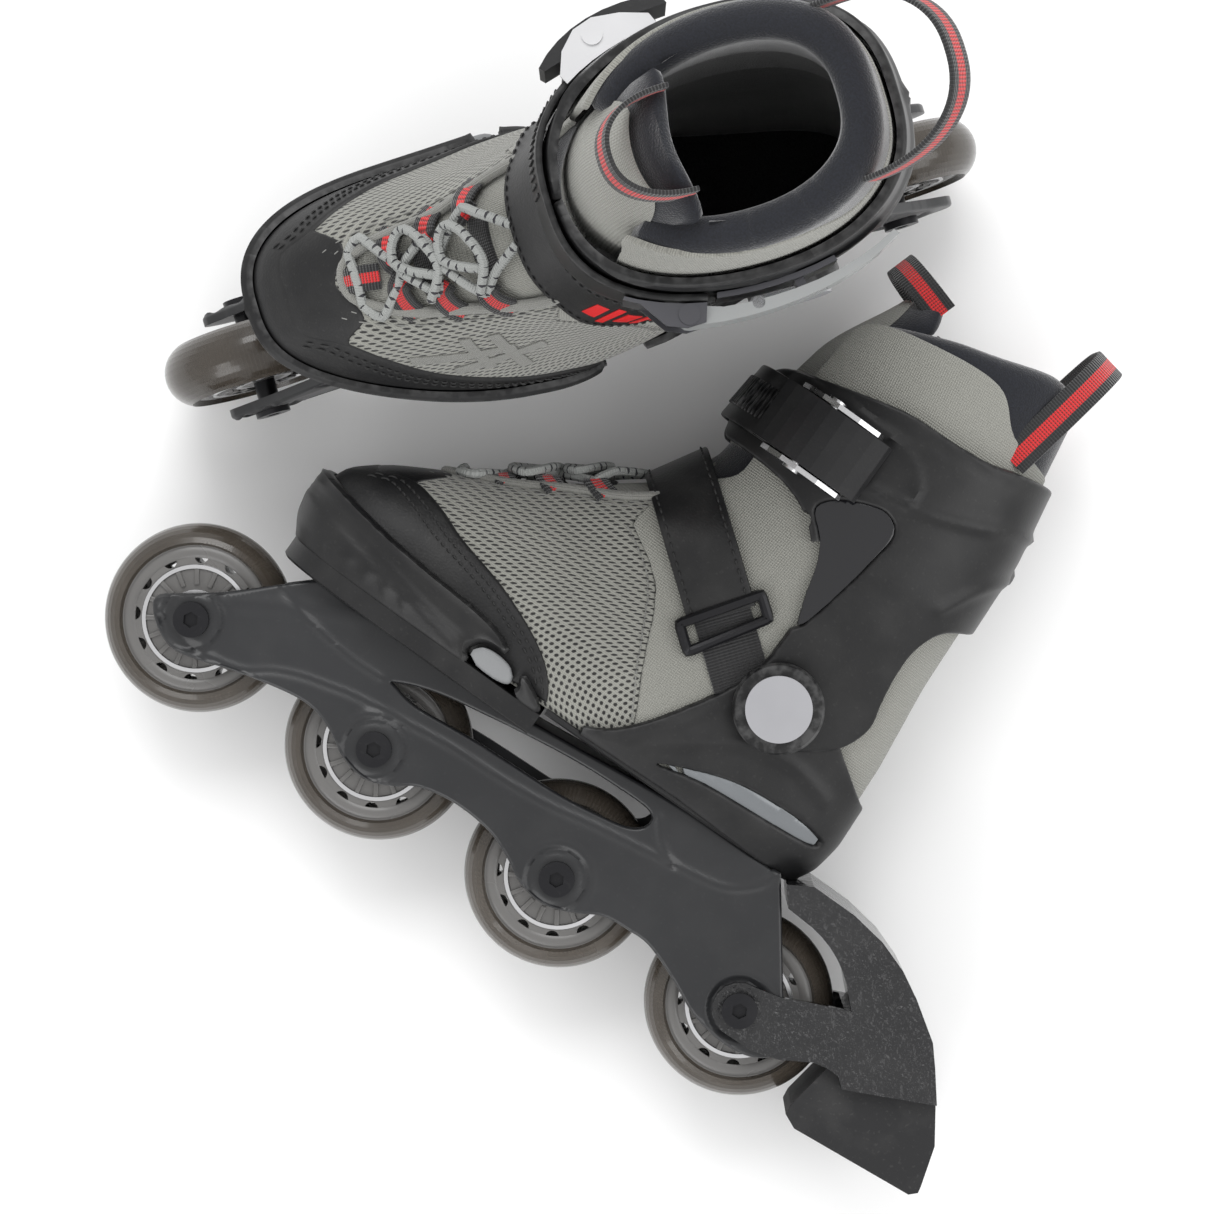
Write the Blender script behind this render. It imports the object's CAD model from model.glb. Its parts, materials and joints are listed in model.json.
import json
import math

import bmesh
import bpy
import numpy as np
from mathutils import Matrix, Vector


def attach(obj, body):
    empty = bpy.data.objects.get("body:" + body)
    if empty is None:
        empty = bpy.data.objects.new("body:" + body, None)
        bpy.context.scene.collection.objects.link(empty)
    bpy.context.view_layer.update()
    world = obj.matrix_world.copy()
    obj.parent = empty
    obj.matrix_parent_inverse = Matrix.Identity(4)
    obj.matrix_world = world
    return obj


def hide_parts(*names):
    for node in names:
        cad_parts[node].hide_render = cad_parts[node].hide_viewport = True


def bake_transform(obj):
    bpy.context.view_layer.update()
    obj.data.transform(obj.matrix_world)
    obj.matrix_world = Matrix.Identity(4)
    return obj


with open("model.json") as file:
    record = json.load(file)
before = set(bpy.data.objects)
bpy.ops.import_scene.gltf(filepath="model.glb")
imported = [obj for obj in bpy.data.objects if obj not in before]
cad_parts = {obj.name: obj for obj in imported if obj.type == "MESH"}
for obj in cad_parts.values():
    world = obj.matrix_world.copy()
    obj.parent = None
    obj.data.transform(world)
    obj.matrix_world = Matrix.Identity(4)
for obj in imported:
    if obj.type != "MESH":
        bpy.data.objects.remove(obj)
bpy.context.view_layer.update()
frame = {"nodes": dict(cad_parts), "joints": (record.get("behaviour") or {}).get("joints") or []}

bl_info = {
    "name": "Inline Skate Workshop",
    "version": (1, 0, 0),
    "blender": (4, 5, 0),
    "location": "3D View > Sidebar > Skates",
    "description": "Builds the uppers, shells, cuffs, straps and wheels of a pair of soft inline skates",
    "category": "Add Mesh",
}

SIDES = ("right", "left")
MM = 0.001

# ------------------------------------------------------------------ camera and light, in metres
CAMERA_HEIGHT = 1.25
SUBJECT_HEIGHT = 0.035
CAMERA_OFFSET = (-0.1239, 0.0905)
CAMERA_TURN = math.atan2(0.579, 0.815)
SENSOR_WIDTH = 36.0
# One metre at the subject's height spans VIEW_SCALE / VIEW_SIDE widths of the view.
VIEW_SCALE = 2680.0
VIEW_SIDE = 1214.0
WORLD_STRENGTH = 0.9
AIM = (0, 0, 0.05)
# Name, place, size and power of each area light.
LAMPS = (("key", (-0.9, 1.0, 1.6), 1.2, 22),
         ("fill", (1.3, 0.5, 1.3), 1.4, 12),
         ("rim", (0.1, -1.5, 1.1), 1.0, 9))

# ------------------------------------------------------------------ boot form, in mm
# Each table gives a size against the height above the axles.
BACK = [(46, 15), (56, 9.5), (68, 7.5), (100, 9), (134, 13), (190, 15.5), (215, 20), (252, 26)]
FRONT = [(46, 226), (54, 231), (66, 233.5), (78, 229), (88, 217), (98, 199), (108, 181),
         (125, 156), (140, 136), (160, 124), (190, 121), (215, 116), (252, 108)]
HEEL_W = [(46, 29), (56, 32), (90, 33.5), (110, 34), (134, 36), (160, 38), (215, 38), (252, 36)]
BALL_W = [(46, 38.5), (56, 42.5), (72, 42.5), (90, 37), (110, 34), (134, 36), (160, 37.5),
          (215, 37.5), (252, 35.5)]
HEIGHTS = np.arange(20.0, 300.0, 0.5)


def eased(table):
    """The table as an evenly spaced curve with its corners rounded over."""
    z, v = zip(*table)
    line = np.interp(HEIGHTS, z, v)
    reach = np.arange(-12, 13)
    kernel = np.exp(-((reach / 5.0) ** 2))
    kernel /= kernel.sum()
    return np.convolve(np.pad(line, 12, mode="edge"), kernel, mode="valid")


BACK_X, FRONT_X, HEEL, BALL = (eased(t) for t in (BACK, FRONT, HEEL_W, BALL_W))


def smooth(low, high, v):
    t = np.clip((v - low) / (high - low), 0, 1)
    return t * t * (3 - 2 * t)


def boot(z, a, d):
    """The boot's surface at height z and angle a round it, 0 at the toe and a quarter turn on the
    inner side, d mm out from the soft upper."""
    z, a = np.asarray(z, float), np.asarray(a, float)
    back, front, heel, ball = (np.interp(z, HEIGHTS, c) for c in (BACK_X, FRONT_X, HEEL, BALL))
    x = (front + back) / 2 + ((front - back) / 2 + d) * np.cos(a)
    w = heel + (ball - heel) * smooth(0.15, 0.55, (x - back) / (front - back)) + d
    s = np.sin(a)
    y = np.sign(s) * np.abs(s) ** 0.75 * w + 9 * smooth(150, 236, x) * (1 - smooth(100, 130, z))
    return np.stack(np.broadcast_arrays(x, y, z), -1)


class Chart:
    """The boot's surface unrolled: s is the distance in mm round it, from the toe or from the heel,
    positive on the inner side, and z is the height."""

    def __init__(self, from_toe):
        self.from_toe = from_toe
        self.turn = np.radians(np.arange(0, 181, 1.0))
        self.rows = np.arange(30, 290, 1.0)
        a = self.turn if from_toe else math.pi - self.turn
        table = []
        for z in self.rows:
            p = boot(z, a, 3.0)[:, :2]
            steps = np.linalg.norm(np.diff(p, axis=0), axis=1)
            table.append(np.concatenate([[0], np.cumsum(steps)]))
        self.table = np.array(table)

    def angle(self, s, z):
        s, z = np.broadcast_arrays(np.asarray(s, float), np.asarray(z, float))
        row = np.clip(z - self.rows[0], 0, len(self.rows) - 1.001)
        low = row.astype(int)
        part = row - low
        out = np.empty(s.shape)
        for i in np.ndindex(s.shape):
            size = abs(s[i])
            t0 = np.interp(size, self.table[low[i]], self.turn)
            t1 = np.interp(size, self.table[low[i] + 1], self.turn)
            t = t0 + (t1 - t0) * part[i]
            out[i] = math.copysign(t if self.from_toe else math.pi - t, s[i])
        return out

    def across(self, x, z, side=1):
        """s of the point that is x forward at height z, on the inner (1) or outer (-1) side."""
        back, front = (np.interp(z, HEIGHTS, c) for c in (BACK_X, FRONT_X))
        a = math.acos(max(-1.0, min(1.0, (x - (front + back) / 2) / ((front - back) / 2))))
        t = a if self.from_toe else math.pi - a
        row = int(np.clip(round(z - self.rows[0]), 0, len(self.rows) - 1))
        return side * float(np.interp(t, self.turn, self.table[row]))

    def point(self, s, z, d):
        return boot(z, self.angle(s, z), d)

    def frame(self, s, z, d):
        """Places and outward directions for arrays of s and z."""
        s, z = np.asarray(s, float), np.asarray(z, float)
        p = self.point(s, z, d)
        along = self.point(s + 0.7, z, d) - self.point(s - 0.7, z, d)
        up = self.point(s, z + 0.7, d) - self.point(s, z - 0.7, d)
        n = np.cross(along, up)
        if not self.from_toe:
            n = -n
        return p, n / np.linalg.norm(n, axis=-1, keepdims=True)


TOE, REAR = Chart(True), Chart(False)


def curve_through(points, closed=False, step=1.5, corners=()):
    """A smooth line through the points, evenly stepped. Points numbered in corners stay sharp."""
    p = np.asarray(points, float)
    n = len(p)
    out = []
    for i in range(n if closed else n - 1):
        if closed:
            a, b, c, e = p[(i - 1) % n], p[i], p[(i + 1) % n], p[(i + 2) % n]
        else:
            a, b, c, e = p[max(i - 1, 0)], p[i], p[i + 1], p[min(i + 2, n - 1)]
        m0 = (c - a) / 2 if i not in corners else (c - b)
        m1 = (e - b) / 2 if (i + 1) % n not in corners else (c - b)
        length = np.linalg.norm(c - b)
        m0 = m0 * min(1.0, 1.2 * length / max(np.linalg.norm(m0), 1e-6))
        m1 = m1 * min(1.0, 1.2 * length / max(np.linalg.norm(m1), 1e-6))
        count = max(1, int(round(length / step)))
        for k in range(count):
            t = k / count
            h = [2 * t**3 - 3 * t**2 + 1, t**3 - 2 * t**2 + t, -2 * t**3 + 3 * t**2, t**3 - t**2]
            out.append(h[0] * b + h[1] * m0 + h[2] * c + h[3] * m1)
    if not closed:
        out.append(p[-1])
    return np.array(out)


def on_chart(chart, points, side=1, step=1.5, corners=(), closed=False):
    """A side-view line (x, z) laid onto a chart."""
    line = curve_through(points, closed, step, corners)
    return np.array([(chart.across(x, z, side), z) for x, z in line])


def both_sides(chart, points, start, end, corners=()):
    """A closed outline that is the same on both sides. start and end are the heights where it
    crosses the middle line."""
    half = on_chart(chart, points, 1, 2.0, corners)
    half = np.vstack([[[0, start]], half, [[0, end]]])
    other = half[::-1][1:-1] * [-1, 1]
    return np.vstack([half, other])


def nearest(points, line, closed=True):
    """Distance and nearest place on the line for each point, and whether it is inside."""
    a = line if closed else line[:-1]
    b = np.roll(line, -1, axis=0) if closed else line[1:]
    ab = b - a
    size = np.maximum((ab**2).sum(1), 1e-12)
    dist, place = np.empty(len(points)), np.empty_like(points)
    inside = np.zeros(len(points), bool)
    for k in range(0, len(points), 3000):
        p = points[k : k + 3000]
        ap = p[:, None, :] - a[None]
        t = np.clip((ap * ab).sum(2) / size, 0, 1)
        q = a[None] + t[..., None] * ab[None]
        dd = ((p[:, None, :] - q) ** 2).sum(2)
        i = dd.argmin(1)
        rows = np.arange(len(p))
        dist[k : k + 3000] = np.sqrt(dd[rows, i])
        place[k : k + 3000] = q[rows, i]
        if closed:
            above = (a[None, :, 1] > p[:, 1:]) != (b[None, :, 1] > p[:, 1:])
            dz = np.where(np.abs(ab[:, 1]) < 1e-9, 1e-9, ab[:, 1])
            cross = a[None, :, 0] + (p[:, 1:] - a[None, :, 1]) * ab[:, 0] / dz
            inside[k : k + 3000] = (above & (p[:, :1] < cross)).sum(1) % 2 == 1
    return dist, place, inside


def depth_in(points, outline, holes):
    """How far inside the outline, and clear of the holes, each point is, with the nearest edge place."""
    dist, place, inside = nearest(points, outline)
    depth = np.where(inside, dist, -dist)
    for hole in holes:
        d2, p2, in2 = nearest(points, hole)
        d2 = np.where(in2, -d2, d2)
        closer = d2 < depth
        depth = np.where(closer, d2, depth)
        place = np.where(closer[:, None], p2, place)
    return depth, place


def both_lines(chart, rows, step=2.0):
    """Relief lines on the inner and then the outer side. Each row gives points, width and height."""
    return [(on_chart(chart, points, side, step), width, height)
            for side in (1, -1) for points, width, height in rows]


class Geo:
    """Vertices in the skate's own frame in mm, faces, and a flat coordinate in cm for each vertex."""

    def __init__(self, verts=(), faces=(), flat=None):
        self.verts = np.asarray(verts, float).reshape(-1, 3)
        self.faces = list(faces)
        self.flat = np.zeros((len(self.verts), 2)) if flat is None else np.asarray(flat, float)

    def __add__(self, other):
        n = len(self.verts)
        return Geo(np.vstack([self.verts, other.verts]),
                   self.faces + [tuple(i + n for i in f) for f in other.faces],
                   np.vstack([self.flat, other.flat]))


def join(geos):
    out = geos[0]
    for g in geos[1:]:
        out = out + g
    return out


def panel(chart, outline, d_out, d_in, edge=1.0, step=1.8, holes=(), relief=(), padded=False):
    """A sheet on the boot between two depths, cut to the outline, with rounded edges. relief is a
    list of (line, width, height) that raise or sink the outer face."""
    low, high = outline.min(0) - step, outline.max(0) + step
    xs = np.arange(low[0], high[0] + step, step)
    zs = np.arange(low[1], high[1] + step, step)
    gx, gz = np.meshgrid(xs, zs, indexing="ij")
    grid = np.stack([gx.ravel(), gz.ravel()], -1)
    depth, _ = depth_in(grid, outline, holes)
    f = (depth - edge).reshape(gx.shape)
    verts, index, faces = [], {}, []

    def corner(i, j):
        key = (0, i, j)
        if key not in index:
            index[key] = len(verts)
            verts.append((xs[i], zs[j]))
        return index[key]

    def crossing(i, j, k, m):
        key = (1, *min((i, j), (k, m)), *max((i, j), (k, m)))
        if key not in index:
            t = min(0.93, max(0.07, f[i, j] / (f[i, j] - f[k, m])))
            index[key] = len(verts)
            verts.append((xs[i] + (xs[k] - xs[i]) * t, zs[j] + (zs[m] - zs[j]) * t))
        return index[key]

    for i in range(len(xs) - 1):
        for j in range(len(zs) - 1):
            ring = ((i, j), (i + 1, j), (i + 1, j + 1), (i, j + 1))
            keep = [f[c] > 0 for c in ring]
            if not any(keep):
                continue
            face = []
            for k in range(4):
                c, e = ring[k], ring[(k + 1) % 4]
                if keep[k]:
                    face.append(corner(*c))
                if keep[k] != keep[(k + 1) % 4]:
                    face.append(crossing(*c, *e))
            if len(face) > 2:
                faces.append(tuple(face))
    flat = np.array(verts)
    used = {}
    for face in faces:
        for k, v in enumerate(face):
            used[(v, face[(k + 1) % len(face)])] = True
    rim = [e for e in used if (e[1], e[0]) not in used]
    rim_verts = sorted({v for e in rim for v in e})
    depth, place = depth_in(flat[rim_verts], outline, holes)
    away = place - flat[rim_verts]
    size = np.linalg.norm(away, axis=1, keepdims=True)
    away = np.where(size > 1e-6, away / np.maximum(size, 1e-6), 0)
    lift = np.zeros(len(flat))
    for line, width, height in relief:
        dist, _, _ = nearest(flat, line, closed=False)
        lift += height * np.exp(-((dist / width) ** 2))
    total = d_out - d_in
    if padded:
        arc = [math.pi * k / 6 for k in range(1, 6)]
        rows = [(edge * math.sin(t), (d_out + d_in) / 2 + total / 2 * math.cos(t)) for t in arc]
    else:
        arc = [math.pi / 2 * k / 3 for k in range(1, 4)]
        drop = min(edge, total * 0.8)
        rows = [(edge * math.sin(t), d_out - drop * (1 - math.cos(t))) for t in arc]
        rows.append((edge, d_in))
    n = len(flat)
    points = [chart.point(flat[:, 0], flat[:, 1], d_out + lift)]
    flats = [flat]
    where = {v: k for k, v in enumerate(rim_verts)}
    for off, d in rows:
        edge_flat = flat[rim_verts] + away * off
        points.append(chart.point(edge_flat[:, 0], edge_flat[:, 1], d))
        flats.append(edge_flat)
    points.append(chart.point(flat[:, 0], flat[:, 1], d_in))
    flats.append(flat)
    m = len(rim_verts)
    inner = n + m * len(rows)
    all_faces = list(faces)
    for a, b in rim:
        ia, ib = where[a], where[b]
        chain = [(a, b)] + [(n + m * r + ia, n + m * r + ib) for r in range(len(rows))]
        chain.append((inner + a, inner + b))
        for (p, q), (r, t) in zip(chain, chain[1:]):
            all_faces.append((q, p, r, t))
    all_faces += [tuple(inner + v for v in reversed(face)) for face in faces]
    if not chart.from_toe:
        all_faces = [tuple(reversed(face)) for face in all_faces]
    return Geo(np.vstack(points), all_faces, np.vstack(flats) / 10)


class Flat:
    """A flat face beside the middle plane, base mm out on the inner (1) or outer (-1) side."""

    def __init__(self, base, side):
        self.base, self.side, self.from_toe = base, side, side < 0

    def point(self, s, z, d):
        s, z, d = np.broadcast_arrays(np.asarray(s, float), z, d)
        return np.stack([s, self.side * (self.base + d), z], -1)


def loft(rings, closed=True, caps=True, flat=None):
    """Joins rings of equal length into a skin. Each ring turns against the direction of travel."""
    rings = np.asarray(rings, float)
    count, size = rings.shape[:2]
    faces = []
    for r in range(count - 1):
        for k in range(size if closed else size - 1):
            k2 = (k + 1) % size
            faces.append((r * size + k, (r + 1) * size + k, (r + 1) * size + k2, r * size + k2))
    if caps and closed:
        faces.append(tuple(range(size)))
        faces.append(tuple(reversed(range((count - 1) * size, count * size))))
    if flat is None:
        along = np.concatenate([[0], np.cumsum(np.linalg.norm(
            np.diff(rings.mean(1), axis=0), axis=1))])
        flat = [(along[r] / 10, k / size) for r in range(count) for k in range(size)]
    return Geo(rings.reshape(-1, 3), faces, flat)


def directions(path, normals=None, closed=False):
    """Tangent, side and up at each point of a path. Without normals, up turns as little as it can."""
    path = np.asarray(path, float)
    if closed:
        tangent = np.roll(path, -1, 0) - np.roll(path, 1, 0)
    else:
        tangent = np.gradient(path, axis=0)
    tangent /= np.linalg.norm(tangent, axis=1, keepdims=True)
    if normals is None:
        up = np.cross(tangent[0], (0.3, 0.9, 0.2))
        ups = []
        for t in tangent:
            up = up - t * up.dot(t)
            up = up / np.linalg.norm(up)
            ups.append(up)
        normals = np.array(ups)
    side = np.cross(tangent, normals)
    side /= np.linalg.norm(side, axis=1, keepdims=True)
    return tangent, side, np.cross(side, tangent)


def sweep(path, section, normals=None, closed=False, scale=None, flat_scale=None):
    """A section of (side, up) points carried along a path."""
    _, side, up = directions(path, normals, closed)
    section = np.asarray(section, float)
    scale = np.ones(len(path)) if scale is None else scale
    rings = [p + k * (section[:, :1] * s + section[:, 1:] * u)
             for p, s, u, k in zip(path, side, up, scale)]
    if closed:
        rings.append(rings[0])
    rings = np.array(rings)
    along = np.concatenate([[0], np.cumsum(np.linalg.norm(np.diff(rings[:, 0], axis=0), axis=1))])
    across = section[:, 0] if flat_scale is None else section[:, 0] / flat_scale * 10
    flat = [(a / 10, c / 10) for a in along for c in across]
    geo = loft(rings, True, not closed, flat)
    return geo


def tube(path, radius, sides=8, closed=False):
    turn = [2 * math.pi * k / sides for k in range(sides)]
    return sweep(path, [(radius * math.cos(t), radius * math.sin(t)) for t in turn], None, closed)


def band_section(width, thick, corner=0.5, rows=7):
    """A flat band's section: a rectangle with rounded corners and points across its faces."""
    corner = min(corner, thick / 2)
    w, h = width / 2, thick / 2
    out = []
    for cx, cy, start in ((w - corner, h - corner, 0), (-w + corner, h - corner, 90),
                          (-w + corner, -h + corner, 180), (w - corner, -h + corner, 270)):
        for k in range(3):
            t = math.radians(start + 45 * k)
            out.append((cx + corner * math.cos(t), cy + corner * math.sin(t)))
        if start in (0, 180):
            sign = 1 if start == 0 else -1
            for k in range(1, rows):
                out.append((sign * (w - corner) * (1 - 2 * k / rows), sign * h))
    return out


def spin(profile, centre, axis=(0, 1, 0), sides=48, closed=True):
    """A profile of (radius, height) turned round an axis."""
    axis = np.array(axis, float) / np.linalg.norm(axis)
    u = np.cross(axis, (0.0, 0.0, 1.0) if abs(axis[2]) < 0.9 else (1.0, 0.0, 0.0))
    u /= np.linalg.norm(u)
    v = np.cross(axis, u)
    profile = np.asarray(profile, float)
    rings = []
    for k in range(sides + 1):
        t = 2 * math.pi * k / sides
        radial = math.cos(t) * u + math.sin(t) * v
        rings.append(np.asarray(centre, float) + profile[:, :1] * radial + profile[:, 1:] * axis)
    return loft(rings, closed, False)


def stitch_row(chart, line, d, length, gap, radius=0.42):
    """Raised thread stitches along a line on the chart."""
    steps = np.linalg.norm(np.diff(line, axis=0), axis=1)
    along = np.concatenate([[0], np.cumsum(steps)])
    geos = []
    at = gap
    while at + length < along[-1]:
        spots = np.linspace(at, at + length, 4)
        s = np.interp(spots, along, line[:, 0])
        z = np.interp(spots, along, line[:, 1])
        p, n = chart.frame(s, z, d)
        p = p + n * (np.array([-0.15, radius * 0.8, radius * 0.8, -0.15])[:, None])
        if np.linalg.norm(p[-1] - p[0]) > 0.5:
            turn = [2 * math.pi * k / 6 for k in range(6)]
            section = [(radius * math.cos(t), radius * math.sin(t)) for t in turn]
            geos.append(sweep(p, section, n, False, [0.55, 1, 1, 0.55]))
        at += length + gap
    return join(geos) if geos else Geo()


def threads(line, ups, length, gap, radius=0.42):
    """Raised thread stitches along a line in space, with the outward direction at each point."""
    along = np.concatenate([[0], np.cumsum(np.linalg.norm(np.diff(line, axis=0), axis=1))])
    turn = [2 * math.pi * k / 6 for k in range(6)]
    section = [(radius * math.cos(t), radius * math.sin(t)) for t in turn]
    geos = []
    at = gap
    while at + length < along[-1]:
        spots = np.linspace(at, at + length, 4)
        p = np.stack([np.interp(spots, along, line[:, k]) for k in range(3)], -1)
        n = np.stack([np.interp(spots, along, ups[:, k]) for k in range(3)], -1)
        p = p + n * (np.array([-0.15, radius * 0.8, radius * 0.8, -0.15])[:, None])
        geos.append(sweep(p, section, n, False, [0.55, 1, 1, 0.55]))
        at += length + gap
    return join(geos)


def offset_line(line, amount):
    """The line moved sideways on the chart."""
    t = np.gradient(line, axis=0)
    t /= np.maximum(np.linalg.norm(t, axis=1, keepdims=True), 1e-9)
    return line + np.stack([-t[:, 1], t[:, 0]], -1) * amount


# ------------------------------------------------------------------ placing on the frame
def skate_matrix(side):
    """From the skate's own frame in mm to the row frame in metres, and whether it mirrors."""
    spots = {j["name"]: j for j in frame["joints"]}
    first, last = spots[f"{side}_wheel_1_spin"], spots[f"{side}_wheel_4_spin"]
    origin = Vector(first["pos_m"])
    x = (Vector(last["pos_m"]) - origin).normalized()
    y = Vector(first["axis"]).normalized()
    if side == "left":
        y = -y
    z = x.cross(y) if side == "right" else y.cross(x)
    m = Matrix.Identity(4)
    for column, axis in enumerate((x, y, z)):
        for row in range(3):
            m[row][column] = axis[row] * MM
    m.translation = origin
    return m


MATRIX = {side: skate_matrix(side) for side in SIDES}


def add_mesh(name, side, geo, material, sharp=35.0):
    """A mesh object in the row frame from geometry in the skate's own frame."""
    if not len(geo.verts):
        raise RuntimeError(f"{name} has no geometry")
    m = np.array(MATRIX[side])
    verts = geo.verts @ m[:3, :3].T + m[:3, 3]
    faces = geo.faces
    if MATRIX[side].to_3x3().determinant() < 0:
        faces = [tuple(reversed(f)) for f in faces]
    mesh = bpy.data.meshes.new(f"{side}_{name}")
    mesh.from_pydata(verts.tolist(), [], faces)
    layer = mesh.uv_layers.new(name="flat")
    corner = np.empty(len(mesh.loops), dtype=np.int32)
    mesh.loops.foreach_get("vertex_index", corner)
    layer.data.foreach_set("uv", geo.flat[corner].astype(np.float32).ravel())
    mesh.validate()
    mesh.shade_smooth()
    if sharp is not None:
        mesh.set_sharp_from_angle(angle=math.radians(sharp))
    mesh.materials.append(material)
    obj = bpy.data.objects.new(f"{side}_{name}", mesh)
    bpy.context.scene.collection.objects.link(obj)
    return obj


def hold(obj, side, body, nodes=()):
    """Rides the piece on a body, or bends it between two when body is (a, b, start, end)."""
    if isinstance(body, str):
        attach(obj, f"{side}_{body}")
    else:
        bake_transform(obj)
    if nodes:
        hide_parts(*[f"{side}_{n}" for n in nodes])
    return obj


def place(name, geo, material, body, nodes=(), slot=None, sharp=35.0):
    """The same piece on both skates."""
    return [hold(add_mesh(name, side, geo, material, sharp), side, body, nodes)
            for side in SIDES]


FOOT = ("base", "toe", (128, 0, 80), (196, 0, 80))
ANKLE = ("base", "cuff", (60, 0, 108), (60, 0, 165))
INSTEP = ("base", "cuff", (60, 0, 120), (60, 0, 250))


# ------------------------------------------------------------------ node groups and materials
class Graph:
    """Fills a node tree. Sockets given as inputs are linked and other values are set."""

    def __init__(self, tree):
        self.tree = tree

    def add(self, kind, inputs=None, **settings):
        node = self.tree.nodes.new(kind)
        node.location = (len(self.tree.nodes) * 180 - 1400, 0)
        for key, value in settings.items():
            setattr(node, key, value)
        for key, value in (inputs or {}).items():
            if isinstance(value, bpy.types.NodeSocket):
                self.tree.links.new(value, node.inputs[key])
            else:
                node.inputs[key].default_value = value
        return node

    def math(self, operation, a, b=0.0, clamp=False):
        node = self.add("ShaderNodeMath", {0: a, 1: b}, operation=operation, use_clamp=clamp)
        return node.outputs[0]

    def mix(self, factor, a, b):
        node = self.add("ShaderNodeMix", {0: factor, 6: a, 7: b}, data_type="RGBA")
        return node.outputs[2]

    def ramp(self, value, low, high):
        node = self.add("ShaderNodeMapRange", {0: value, 1: low, 2: high})
        return node.outputs[0]


def group(name, inputs, outputs):
    tree = bpy.data.node_groups.new(name, "ShaderNodeTree")
    for label, kind, default in inputs:
        socket = tree.interface.new_socket(label, in_out="INPUT", socket_type=f"NodeSocket{kind}")
        if default is not None:
            socket.default_value = default
    for label, kind in outputs:
        tree.interface.new_socket(label, in_out="OUTPUT", socket_type=f"NodeSocket{kind}")
    g = Graph(tree)
    return g, g.add("NodeGroupInput").outputs, g.add("NodeGroupOutput")


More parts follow.
